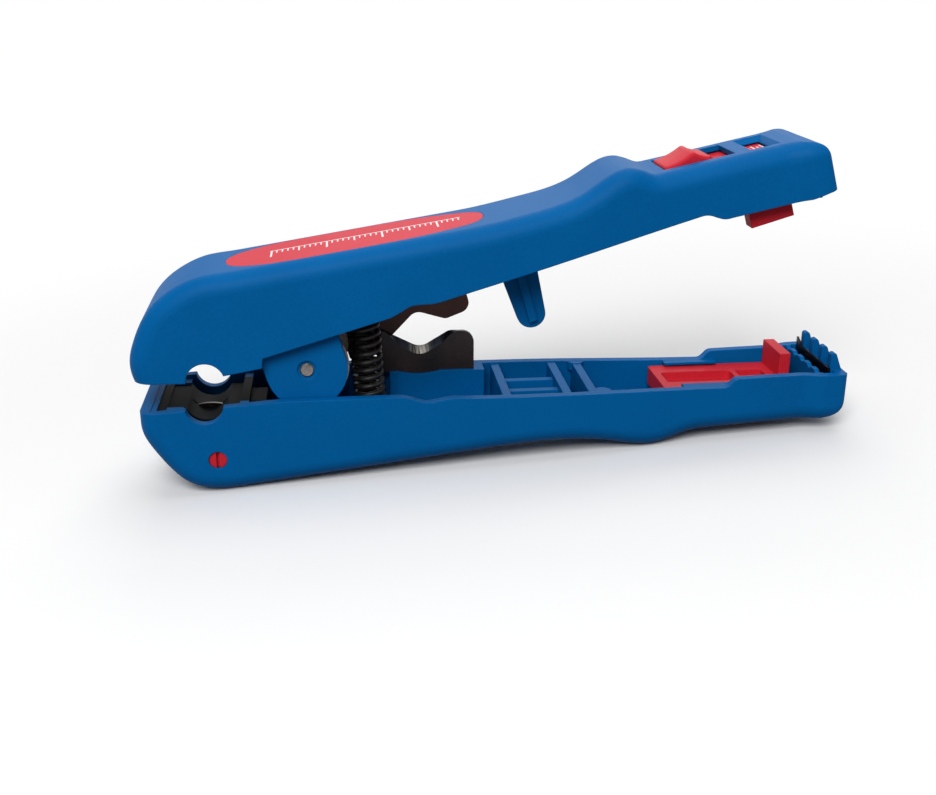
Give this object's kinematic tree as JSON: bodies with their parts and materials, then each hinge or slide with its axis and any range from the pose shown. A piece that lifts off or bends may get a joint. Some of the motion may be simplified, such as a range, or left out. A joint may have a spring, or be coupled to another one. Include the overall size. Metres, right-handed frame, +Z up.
{
  "type": "ethernet cable stripper",
  "caption": "Sprung hand stripper for data cables: two hinged plastic handles with a round cable jaw, a wire cutter, a comb jaw, a sliding lock and a length stop",
  "frame": {"origin": "middle of the tool's footprint, on the ground under it", "axes": "+X towards the comb nose, +Y towards the far side, +Z up; the lower handle rests on the ground on its belly and its finger hump"},
  "size_m": [0.1312, 0.022, 0.055],
  "materials": {
    "handle_blue": "moulded plastic, fine matt grain, clear blue",
    "trim_red": "moulded plastic, satin red",
    "insert_black": "moulded plastic, black",
    "pin_steel": "bright plated steel",
    "spring_black": "oiled black spring steel",
    "blade_brown": "dark brown burnished steel, ground edges brighter",
    "blade_steel": "plain ground steel"
  },
  "bodies": {
    "lower": {"lower_handle": "handle_blue", "pivot_washers": "pin_steel", "lower_cutter_blade": "blade_brown", "lower_blade_pins": "pin_steel", "blade_carrier": "insert_black", "jacket_blade": "blade_steel", "jacket_blade_screw": "pin_steel", "lower_wire_blade": "blade_steel", "handle_spring": "spring_black"},
    "upper": {"upper_handle": "handle_blue", "pivot_pin": "pin_steel", "upper_cutter_blade": "blade_brown", "upper_blade_rivets": "pin_steel", "label_plate": "trim_red", "cable_rest": "insert_black", "upper_wire_blade": "blade_steel"},
    "lock": {"sliding_lock": "trim_red"},
    "stop": {"length_stop": "trim_red"},
    "adjuster": {"depth_adjuster": "trim_red"}
  },
  "joints": [
    {"name": "handle_pivot", "type": "hinge", "parent": "lower", "child": "upper", "pos_m": [-0.03486, 0, 0.02141], "axis": [0, 1, 0], "range_deg": [0, 20.1], "stiffness_Nm_per_rad": 0.4, "springref_deg": -14.32, "deforming": ["handle_spring"]},
    {"name": "lock_slide", "type": "slide", "parent": "lower", "child": "lock", "axis": [0.9981, 0, -0.0618], "range_m": [-0.006, 0]},
    {"name": "stop_slide", "type": "slide", "parent": "upper", "child": "stop", "axis": [0.9886, 0, 0.1507], "range_m": [0, 0.0028]},
    {"name": "adjuster_turn", "type": "hinge", "parent": "lower", "child": "adjuster", "pos_m": [-0.05241, 0, 0.00657], "axis": [0, 1, 0], "range_deg": [-90, 90]}
  ]
}
